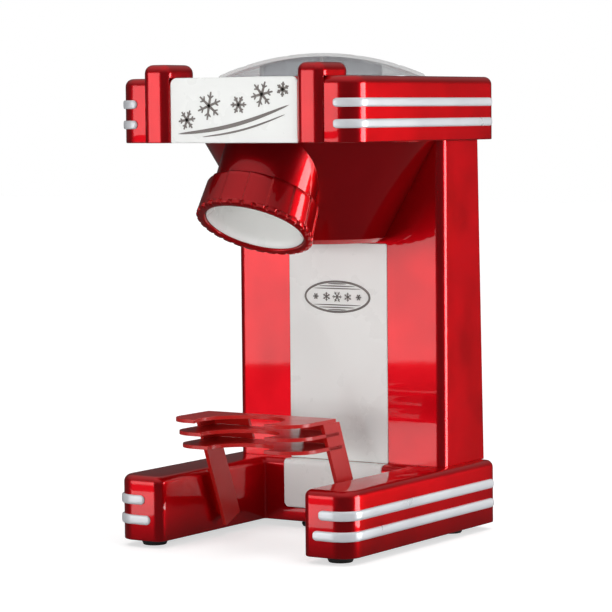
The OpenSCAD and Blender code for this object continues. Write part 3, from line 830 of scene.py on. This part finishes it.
@dataclass(frozen=True)
class Crystal:
    """A six-armed snow crystal in low relief.

    Attributes:
        x: its place across.
        z: its height above the table.
        radius: length of an arm.
        stroke: width of an arm.
        turn: its turn in degrees.
    """

    x: float
    z: float
    radius: float
    stroke: float
    turn: float = 0.0

    def bar(self, length: float, root: float, tip: float, edge: float, relief: float) -> Surface:
        """One tapered bar along +X from the origin.

        Args:
            length: its length as a share of the radius.
            root: its width at the root as a share of the stroke.
            tip: its width at the tip, the same way.
            edge: its corner radius, the same way, from the middle line.
            relief: its height.

        Returns:
            The bar, lying on height 0.
        """
        half = self.stroke / 2
        reach, wide, thin = self.radius * length, half * root, half * tip
        corners = [(0, -wide), (reach, -thin), (reach, thin), (0, wide)]
        return slab(Outline.rounded(corners, [half * edge] * 4, 3, 0), relief, 0.02, 0.08)

    def surfaces(self, wall_y: float, relief: float) -> list:
        """Arms and side twigs as small tapered bars.

        Args:
            wall_y: the wall it lies on.
            relief: how far it stands proud.

        Returns:
            One surface for each bar.
        """
        arm = self.bar(1.0, 1.0, 0.5, 0.2, relief)
        twig = self.bar(0.32, 0.7, 0.4, 0.15, relief * 0.9)
        bars = []
        for k in range(6):
            spin = Matrix.Rotation(math.radians(60 * k + self.turn), 4, "Z")
            bars.append(arm.placed(spin))
            for side in (-1, 1):
                turn = Matrix.Rotation(math.radians(52 * side), 4, "Z")
                fork = Matrix.Translation((self.radius * 0.55, 0, 0)) @ turn
                bars.append(twig.placed(spin @ fork))
        place = upright(wall_y) @ Matrix.Translation((self.x, self.z, 0))
        return [bar.placed(place) for bar in bars]


def ribbon(start: tuple, end: tuple, sag: float, width: float, wall_y: float, relief: float) -> Surface:
    """A tapered stroke on a wall.

    Its middle line runs straight from start to end, less a sine arch of height sag, and its half width
    swells and thins along it as the square root of u times (1 - u).

    Args:
        start: first end as (x, z).
        end: second end as (x, z).
        sag: depth of the arch.
        width: width at the middle.
        wall_y: the wall it lies on.
        relief: how far it stands proud.

    Returns:
        The stroke as a closed surface.
    """
    u = np.linspace(0, 1, 41)
    x = start[0] + (end[0] - start[0]) * u
    z = start[1] + (end[1] - start[1]) * u - sag * np.sin(np.pi * u)
    half = width * np.sqrt(np.maximum(u * (1 - u), 0)) + 0.02
    v = np.linspace(0, 2 * np.pi, 12, endpoint=False)
    across = np.cos(v)[None] * half[:, None]
    out = relief * (0.5 - 0.5 * np.clip(np.sin(v) * 1.6, -1, 1))
    along = np.broadcast_to(x[:, None], across.shape)
    depth = np.broadcast_to(wall_y - out[None], across.shape)
    return grid_surface(np.stack([along, depth, z[:, None] + across], -1), capped=True)


@dataclass(frozen=True)
class Column:
    """The column's white panel and its oval badge.

    Attributes:
        front_y: front face of the white panel.
        panel_half: half its width.
        low_z: its lower edge.
        high_z: its upper edge.
        badge_z: centre of the badge.
        badge_w: half the badge's width.
        badge_h: half the badge's height.
    """

    front_y: float = 37.7
    panel_half: float = 39.1
    low_z: float = 47.6
    high_z: float = 196.8
    badge_z: float = 160.0
    badge_w: float = 26.4
    badge_h: float = 11.1

    def panel(self) -> Surface:
        """The tall white panel with round edges."""
        low, high = (-self.panel_half, self.low_z), (self.panel_half, self.high_z)
        return wall_plate(Outline.rectangle(low, high, [1.0, 1.0, 1.5, 1.5], 6, 12), self.front_y, 0.55)

    def badge_place(self) -> Matrix:
        """From the badge's plan to its place on the panel."""
        return upright(self.front_y) @ Matrix.Translation((0, self.badge_z, 0))

    def badge_ring(self) -> Surface:
        """The oval ring round the badge.

        Returns:
            The ring as a closed surface.
        """
        profile = np.array([[0, 0], [0, 0.45], [0.25, 0.7], [1.15, 0.7], [1.4, 0.45], [1.4, 0.0]])
        outline = Outline.ellipse(self.badge_w, self.badge_h, 144)
        return grid_surface(outline.swept(profile), closed_u=True).placed(self.badge_place())

    def badge_field(self) -> Surface:
        """The white field inside the ring, slightly raised."""
        outline = Outline.ellipse(self.badge_w - 1.2, self.badge_h - 1.2)
        return slab(outline, 0.3, 0.05, 0.1).placed(self.badge_place())

    def badge_lines(self) -> list:
        """Tapered lines above and below, and a row of crystals between them.

        Returns:
            One surface for each line and bar.
        """
        wall, relief = self.front_y - 0.3, 0.4
        parts = []
        for rise, reach in ((5.6, 19.0), (7.3, 14.5), (8.9, 7.5)):
            for side in (-1, 1):
                z = self.badge_z + side * rise
                parts.append(ribbon((-reach, z), (reach, z), 0.0, 0.75, wall, relief))
        for k, radius in enumerate((2.2, 3.1, 3.9, 3.1, 2.2)):
            crystal = Crystal((k - 2) * 8.6, self.badge_z, radius, 0.8, 30.0 * (k % 2))
            parts += crystal.surfaces(wall, relief)
        return parts

    def build(self, paint: Paintbox) -> None:
        """Lays down the column's pieces.

        Args:
            paint: the finishes.
        """
        paint.lay(mesh_object("column_panel_look", self.panel()), Slot.PANEL_WHITE, "column_front_panel")
        paint.lay(mesh_object("badge_field_look", self.badge_field()), Slot.PANEL_WHITE)
        badge = mesh_object("badge_look", joined(self.badge_ring(), *self.badge_lines()))
        paint.lay(badge, Slot.BADGE_INK, "badge_plate")


@dataclass(frozen=True)
class Head:
    """The red head with its fins, white panel, stripes and clear lid.

    Attributes:
        half_w: half the width.
        front_y: front face.
        rear_y: rear face.
        low_z: underside.
        top_z: top.
        top_r: radius of the top edge.
        corner_r: radius of the front corners.
        axis_y: the lid's axis.
        open_r: radius of the opening for the lid.
        fin_x: inner and outer edge of the right fin.
        fin_front_y: front of the fins.
        fin_rear_y: rear end of the fins on the head.
        fin_top_z: top of the fins.
        lid_r: radius of the lid.
        lid_apex_z: its highest point.
        lid_edge_z: where the dome springs from the rim.
        lid_low_z: underside of the rim.
        lid_t: its thickness.
        recess_half: half the width of the recess behind the white panel.
        stripe_places: start on the front and lowest edge of each stripe.
        stripe_h: height of a stripe.
        stripe_end_y: rear end of the stripes.
    """

    half_w: float = 92.0
    front_y: float = -86.5
    rear_y: float = 93.5
    low_z: float = 266.5
    top_z: float = 308.7
    top_r: float = 5.2
    corner_r: float = 13.6
    axis_y: float = 20.0
    open_r: float = 70.2
    fin_x: tuple = (49.5, 69.7)
    fin_front_y: float = -90.4
    fin_rear_y: float = -56.0
    fin_top_z: float = 317.5
    lid_r: float = 69.6
    lid_apex_z: float = 325.5
    lid_edge_z: float = 310.5
    lid_low_z: float = 306.2
    lid_t: float = 2.2
    recess_half: float = 49.35
    stripe_places: tuple = ((76.0, 275.7), (76.0, 289.0))
    stripe_h: float = 5.7
    stripe_end_y: float = 88.4

    def shell(self) -> Surface:
        """The head: outer wall, round top edge, top drawn in to the lid's opening, and the inside.

        On the top each point moves along the straight line from the outline to the point of the opening's
        circle that lies in the same direction from the lid's axis.

        Returns:
            The shell as a closed surface.
        """
        low, high = (-self.half_w, self.front_y), (self.half_w, self.rear_y)
        outline = Outline.rectangle(low, high, [self.corner_r, self.corner_r, 5.6, 5.6], 14, 60)
        profile = [round_low(0.7, self.low_z, 4), round_high(self.top_r, self.top_z, 10)]
        outer = outline.swept(np.concatenate(profile))
        centre = np.array([0, self.axis_y])
        away = outline.points - centre
        away /= np.linalg.norm(away, axis=1, keepdims=True)
        opening = np.array([
            [self.open_r + 0.8, self.top_z], [self.open_r + 0.2, self.top_z - 0.25],
            [self.open_r, self.top_z - 0.8], [self.open_r, self.top_z - 2.5],
        ])
        ring = lifted(centre + opening[:, :1, None] * away[None], opening[:, 1])
        part = np.linspace(0, 1, 8)[1:-1, None, None]
        flat = outer[-1:] * (1 - part) + ring[:1] * part
        inner = outline.swept(np.array([[2.5, self.top_z - 2.5], [2.5, self.low_z]]))
        return grid_surface(np.concatenate([outer, flat, ring, inner]), closed_u=True)

    def fin(self) -> Surface:
        """The right fin: a block with round corners and a pillowed top.

        Returns:
            The fin as a closed surface.
        """
        low, high = (self.fin_x[0], self.fin_front_y), (self.fin_x[1], self.fin_rear_y)
        outline = Outline.rectangle(low, high, [6.2, 6.2, 6.0, 6.0], 12, 6)
        block = slab(outline, self.fin_top_z - self.low_z, 0.6, 5.6)
        return block.placed(Matrix.Translation((0, 0, self.low_z)))

    def panel(self) -> Surface:
        """The white front panel with round upper corners.

        Returns:
            The panel.
        """
        half = self.fin_x[0] - 0.2
        low, high = (-half, self.low_z), (half, self.top_z)
        return wall_plate(Outline.rectangle(low, high, [1.0, 1.0, 4.5, 4.5], 8, 12), self.front_y, 0.8)

    def ornament(self) -> list:
        """Snow crystals rising across the panel over two long waves.

        Returns:
            One surface for each bar and wave.
        """
        wall, relief = self.front_y + 0.02, 0.35
        crystals = (
            (-36, 281.5, 6.6, 8), (-18.5, 290.5, 9.2, 20), (4.5, 291.0, 6.0, 0),
            (22.5, 297.5, 8.4, 12), (38.5, 300.5, 4.8, 25),
        )
        parts = []
        for x, z, radius, turn in crystals:
            parts += Crystal(x, z, radius, 1.9, turn).surfaces(wall, relief)
        parts.append(ribbon((-43, 272.5), (43, 290.5), 3.6, 2.6, wall, relief))
        parts.append(ribbon((-24, 270.5), (40, 284.5), 2.4, 1.3, wall, relief))
        return parts

    def stripes(self) -> list:
        """The stripes of the right side, one surface each."""
        sides = (self.half_w, self.front_y, self.corner_r, self.stripe_end_y)
        return [StripeBand(x, *sides, low, self.stripe_h).surface() for x, low in self.stripe_places]

    def lid(self) -> Surface:
        """The clear dome.

        Its section is a circular arc from the axis to the rim, a round shoulder, the upright rim and the
        same arc drawn in by the thickness. A shallow ring groove runs round it at a third of its radius.

        Returns:
            The dome as a closed surface.
        """
        rise = self.lid_apex_z - self.lid_edge_z
        sphere = (self.lid_r**2 + rise**2) / (2 * rise)
        centre = self.lid_apex_z - sphere
        r = np.linspace(0, self.lid_r - 1.2, 60)
        groove = 0.5 * np.exp(-(((r - 24.0) / 1.8) ** 2)) + 0.35 * np.exp(-(((r - 52.0) / 1.6) ** 2))
        outer = np.stack([r, centre + np.sqrt(sphere**2 - r**2) - groove], 1)
        edge, wide = self.lid_edge_z, self.lid_r
        shoulder = np.array([[wide - 0.5, edge - 0.1], [wide - 0.1, edge - 0.5], [wide, edge - 1.0]])
        rim = np.array([[wide, self.lid_low_z], [wide - self.lid_t, self.lid_low_z]])
        inside = np.linspace(wide - self.lid_t, 0, 40)
        inner = np.stack([inside, centre + np.sqrt((sphere - self.lid_t) ** 2 - inside**2)], 1)
        dome = revolved(np.concatenate([outer, shoulder, rim, inner]), 160)
        return dome.placed(Matrix.Translation((0, self.axis_y, 0)))

    def build(self, paint: Paintbox) -> None:
        """Lays down the head's pieces.

        Args:
            paint: the finishes.
        """
        shell = mesh_object("head_shell_look", self.shell())
        half = self.recess_half
        carve(shell, [box_surface((-half, -90.0, 260.0), (half, self.front_y + 1.5, 312.0))])
        paint.lay(shell, Slot.CANDY_RED, "head_shell")
        block, seat = self.fin(), box_surface((40.0, self.front_y, 255.0), (80.0, -40.0, self.top_z))
        for side, surface, cutter in (("right", block, seat), ("left", block.mirrored(), seat.mirrored())):
            fin = mesh_object(f"fin_{side}_look", surface)
            carve(fin, [cutter])
            paint.lay(fin, Slot.CANDY_RED, f"fin_{side}")
        paint.lay(mesh_object("head_panel_look", self.panel()), Slot.PANEL_WHITE, "head_front_panel")
        paint.lay(mesh_object("head_ornament_look", joined(*self.ornament())), Slot.BADGE_INK)
        stripes = mesh_object("head_stripes_look", paired(self.stripes()))
        paint.lay(stripes, Slot.SILVER_STRIPE, "head_stripes")
        lid = mesh_object("lid_dome_look", self.lid(), 60.0)
        paint.lay(lid, Slot.CLEAR_LID, "lid_dome", body=LID_BODY)


@dataclass(frozen=True)
class Chute:
    """The white chute liner and the red grip ring, on the tilted axis of the chute.

    Attributes:
        mouth: centre of the mouth.
        tilt: lean of the axis in degrees.
        mouth_r: radius of the white mouth.
        bore_r: radius of the liner's bore.
        liner_r: outer radius of the liner.
        liner_l: its length.
        ring_r: radius of the ring at its lip.
        ring_l: length of the ring above the mouth.
        ring_bore_r: inner radius of the ring.
        lip: how far the ring's lip stands below the mouth.
        scallops: number of scallops round the lip.
        lands: number of stepped lands round the side.
        step: depth of a land's step.
        bite: depth of a scallop.
    """

    mouth: tuple = (0.0, -62.8, 211.6)
    tilt: float = 28.2
    mouth_r: float = 32.9
    bore_r: float = 29.1
    liner_r: float = 30.7
    liner_l: float = 38.0
    ring_r: float = 39.3
    ring_l: float = 23.0
    ring_bore_r: float = 33.9
    lip: float = 1.8
    scallops: int = 30
    lands: int = 15
    step: float = 0.75
    bite: float = 1.5

    def placement(self) -> Matrix:
        """From the chute's own axis to the machine."""
        return Matrix.Translation(self.mouth) @ Matrix.Rotation(math.radians(-self.tilt), 4, "X")

    def liner(self) -> Surface:
        """The liner: a flange at the mouth, a curved funnel and a domed end.

        Returns:
            The liner as a closed surface about its own axis.
        """
        depth, long, outer = 6.0, self.liner_l, self.liner_r
        blend = np.linspace(0, 1, 12)
        funnel_r = self.mouth_r - 0.7 - (self.mouth_r - 0.7 - self.bore_r) * np.sin(blend * np.pi / 2)
        funnel = np.stack([funnel_r, 0.15 + depth * (1 - np.cos(blend * np.pi / 2))], 1)
        a = np.linspace(0, np.pi / 2, 14)
        dome = np.stack([self.bore_r * np.cos(a), long - 8.0 + depth * np.sin(a)], 1)
        back = np.array([
            [0, long], [outer - 2, long], [outer, long - 2], [outer, 1.4], [self.mouth_r, 1.4],
            [self.mouth_r, 0.3], [self.mouth_r - 0.3, 0.0],
        ])
        return revolved(np.concatenate([back, funnel, dome]), 144)

    def ring(self) -> Surface:
        """The grip ring.

        Round the axis the outer radius steps in a saw tooth, one tooth for each land, and near the lip a
        row of scallops is bitten out: depth times the cosine of the scallop angle to the power of 1.5,
        where that cosine is above 0.

        Returns:
            The ring as a closed surface about its own axis.
        """
        long, bore_r = self.ring_l, self.ring_bore_r
        s = np.concatenate([np.linspace(-self.lip + 0.9, 2.6, 9), np.linspace(3.4, long - 1.4, 10)])
        taper = self.ring_r - 1.5 * (s + self.lip) / (long + self.lip)
        side = np.stack([taper, s], 1)
        top_r = taper[-1]
        crown = np.array([
            [top_r - 0.3, long - 0.7], [top_r - 0.9, long - 0.15], [top_r - 1.6, long], [bore_r, long],
        ])
        bore = np.array([
            [bore_r, 0.35], [33.2, 0.35], [33.2, -0.5], [33.5, -1.2], [34.3, -1.65],
            [35.4, -self.lip], [37.9, -self.lip], [38.7, -1.5],
        ])
        profile = np.concatenate([side, crown, bore])
        theta = np.linspace(0, 2 * np.pi, 900, endpoint=False)
        tooth = (theta * self.lands / (2 * np.pi)) % 1.0
        step = self.step * np.clip(tooth / 0.9, 0, 1) * np.clip((1 - tooth) / 0.035, 0, 1)
        bite = self.bite * np.clip(np.cos(theta * self.scallops), 0, 1) ** 1.5
        near_lip = np.clip((1.4 - profile[:, 1]) / 0.5, 0, 1)
        outer = np.clip((profile[:, 0] - 35.6) / 1.4, 0, 1)
        on_side = outer * np.clip((profile[:, 1] - 1.2) / 0.6, 0, 1)
        r = profile[:, :1] - on_side[:, None] * step[None] - (outer * near_lip)[:, None] * bite[None]
        grid = np.stack([r * np.cos(theta), r * np.sin(theta), np.broadcast_to(profile[:, 1:], r.shape)], -1)
        return grid_surface(grid, closed_u=True)

    def build(self, paint: Paintbox) -> None:
        """Lays down the liner and the ring.

        Args:
            paint: the finishes.
        """
        place = self.placement()
        liner = mesh_object("chute_liner_look", self.liner().placed(place))
        inlet = box_surface((-15, 6, self.liner_l - 12), (15, 22, self.liner_l + 2)).placed(place)
        carve(liner, [inlet])
        paint.lay(liner, Slot.PANEL_WHITE, "chute_liner")
        ring = mesh_object("grip_ring_look", self.ring().placed(place), 30.0)
        paint.lay(ring, Slot.CANDY_RED, "grip_ring", body=RING_BODY)


KEPT_NODES = {
    Slot.CANDY_RED: ("column_shell", "rear_cover", "chute_housing"),
    Slot.HOLDER_RED: (
        "holder_plate_high", "holder_plate_mid", "holder_plate_low", "holder_side_left", "holder_side_right",
    ),
    Slot.DARK_PLASTIC: ("base_floor", "cord_gland", "head_floor", "gear_frame", "gear_cover", "switch_body"),
    Slot.PANEL_WHITE: ("hopper_bowl", "rotor_paddle"),
    Slot.CLEAR_LID: ("lid_presser",),
    Slot.STEEL: (
        "floor_screws", "rear_screws", "blade_screws", "frame_screws", "shaving_blade", "rotor_shaft",
        "motor_can", "motor_shaft",
    ),
    Slot.GEAR_PLASTIC: ("rotor_gear", "motor_pinion", "switch_plunger"),
    Slot.BRONZE: ("upper_bush", "lower_bush"),
}


# ---- studio ----


@dataclass(frozen=True)
class Softbox:
    """A soft rectangular lamp.

    Attributes:
        name: its name.
        place: where it hangs, in metres.
        size: width and height in metres.
        radiance: brightness of its face, with white paper at 1.
        mirrored: whether it shows in glossy surfaces.
        target: the point it faces.
    """

    name: str
    place: tuple
    size: tuple
    radiance: float
    mirrored: bool = True
    target: tuple = (0.0, 0.0, 0.16)

    def build(self) -> None:
        """Hangs the lamp; its power is radiance times pi times its area."""
        lamp = bpy.data.lights.new(self.name, "AREA")
        lamp.shape, lamp.size, lamp.size_y = "RECTANGLE", self.size[0], self.size[1]
        lamp.energy = self.radiance * math.pi * self.size[0] * self.size[1]
        obj = bpy.data.objects.new(self.name, lamp)
        away = Vector(self.place) - Vector(self.target)
        obj.matrix_world = Matrix.Translation(self.place) @ away.to_track_quat("Z", "Y").to_matrix().to_4x4()
        obj.visible_camera = False
        obj.visible_glossy = self.mirrored
        bpy.context.scene.collection.objects.link(obj)


LAMPS = (
    Softbox("front_left_softbox", (-1.05, -1.62, 0.32), (0.9, 0.78), 2.0),
    Softbox("low_left_softbox", (-1.05, -1.62, -0.3), (0.9, 0.3), 2.0),
    Softbox("front_high_softbox", (-0.2, -1.7, 1.25), (0.9, 0.5), 1.4, mirrored=False),
    Softbox("right_front_softbox", (1.8, -0.7, 0.8), (0.8, 1.2), 3.2, mirrored=False),
    Softbox("right_rear_softbox", (1.45, 0.84, 0.1), (1.0, 0.9), 5.6),
    Softbox("low_front_softbox", (0.3, -1.8, 0.16), (0.9, 0.25), 13.0, mirrored=False),
)


@dataclass(frozen=True)
class Studio:
    """Pale floor, soft lamps and the camera.

    Attributes:
        eye: the camera's place in metres.
        azimuth: its turn in degrees.
        pitch: how far it looks down, in degrees.
        roll: its roll in degrees.
        lens: focal length in millimetres on a 36 mm sensor.
        horizon: brightness of the world at the horizon.
        zenith: brightness of the world overhead.
        overhead: strength of the overhead lamp.
        overhead_spread: its width as seen from the object, in degrees.
        overhead_lean: its lean about X and Y, in degrees.
        floor_glow: brightness added to the floor as the camera sees it.
        floor_reach: half the width of the floor, in millimetres.
        floor_tones: the two greys of the floor.
    """

    eye: tuple = (0.9886, -1.5342, 0.2852)
    azimuth: float = 32.831
    pitch: float = 4.046
    roll: float = -0.512
    lens: float = 160.31
    horizon: float = 0.07
    zenith: float = 0.5
    overhead: float = 1.6
    overhead_spread: float = 70.0
    overhead_lean: tuple = (-8.0, 4.0)
    floor_glow: float = 0.62
    floor_reach: float = 6000.0
    floor_tones: tuple = ((0.58, 0.58, 0.58, 1.0), (0.6, 0.6, 0.6, 1.0))

    def camera(self) -> None:
        """Sets up the camera from its turn, pitch and roll."""
        lens = bpy.data.cameras.new("camera")
        lens.lens, lens.sensor_width, lens.clip_start = self.lens, 36.0, 0.05
        obj = bpy.data.objects.new("camera", lens)
        turns = ((self.azimuth, "Z"), (90.0 - self.pitch, "X"), (self.roll, "Z"))
        azimuth, pitch, roll = (Matrix.Rotation(math.radians(angle), 4, axis) for angle, axis in turns)
        obj.matrix_world = Matrix.Translation(self.eye) @ azimuth @ pitch @ roll
        bpy.context.scene.collection.objects.link(obj)
        bpy.context.scene.camera = obj

    def floor(self) -> None:
        """Lays a wide pale floor that isn't part of the object."""
        reach = self.floor_reach
        x, y = np.meshgrid([-reach, reach], [-reach, reach])
        obj = mesh_object("floor", grid_surface(np.stack([x, y, 0 * x], -1), closed_v=False))
        graph = Graph(bpy.data.materials.new("pale_floor"))
        seen = graph.add("ShaderNodeLightPath").outputs["Is Camera Ray"]
        shader = graph.add("ShaderNodeBsdfPrincipled", {
            "Base Color": graph.mixed(graph.noise(3.0), *self.floor_tones),
            "Roughness": 0.6,
            "Emission Color": WHITE,
            "Emission Strength": graph.product(seen, self.floor_glow),
        })
        graph.add("ShaderNodeOutputMaterial", {"Surface": shader.outputs[0]})
        obj.data.materials.append(graph.owner)
        obj.visible_glossy = False

    def world(self) -> None:
        """A plain world: white behind the object; in its light dim at the horizon and pale overhead."""
        graph = Graph(bpy.data.worlds.new("studio"))
        seen = graph.add("ShaderNodeLightPath").outputs["Is Camera Ray"]
        ray = graph.add("ShaderNodeTexCoord").outputs["Generated"]
        height = graph.add("ShaderNodeSeparateXYZ", {0: ray}).outputs["Z"]
        tone = graph.mixed(seen, graph.ranged(height, 0.3, 0.9, self.horizon, self.zenith), WHITE)
        back = graph.add("ShaderNodeBackground", {"Color": tone})
        graph.add("ShaderNodeOutputWorld", {"Surface": back.outputs[0]})
        bpy.context.scene.world = graph.owner

    def sky_lamp(self) -> None:
        """A wide soft lamp straight overhead that lights floor and object evenly."""
        lamp = bpy.data.lights.new("overhead_lamp", "SUN")
        lamp.energy, lamp.angle = self.overhead, math.radians(self.overhead_spread)
        obj = bpy.data.objects.new("overhead_lamp", lamp)
        obj.rotation_euler = (*(math.radians(lean) for lean in self.overhead_lean), 0)
        obj.visible_glossy = False
        bpy.context.scene.collection.objects.link(obj)

    def build(self) -> None:
        """Sets up floor, world, lamps and camera."""
        self.floor()
        self.world()
        self.sky_lamp()
        for lamp in LAMPS:
            lamp.build()
        self.camera()
        bpy.context.scene.view_settings.view_transform = "Standard"


def main() -> None:
    """Builds the looks in order."""
    logging.basicConfig(level=logging.INFO, format="%(name)s: %(message)s")
    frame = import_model()
    paint = Paintbox()
    for assembly in (Base(), Column(), Head(), Chute()):
        assembly.build(paint)
    for slot, names in KEPT_NODES.items():
        for name in names:
            paint.dress(frame["nodes"][name], slot)
            LOG.info("%s: CAD mesh kept", name)
    Studio().build()
    bpy.context.view_layer.update()


if __name__ == "__main__":
    main()
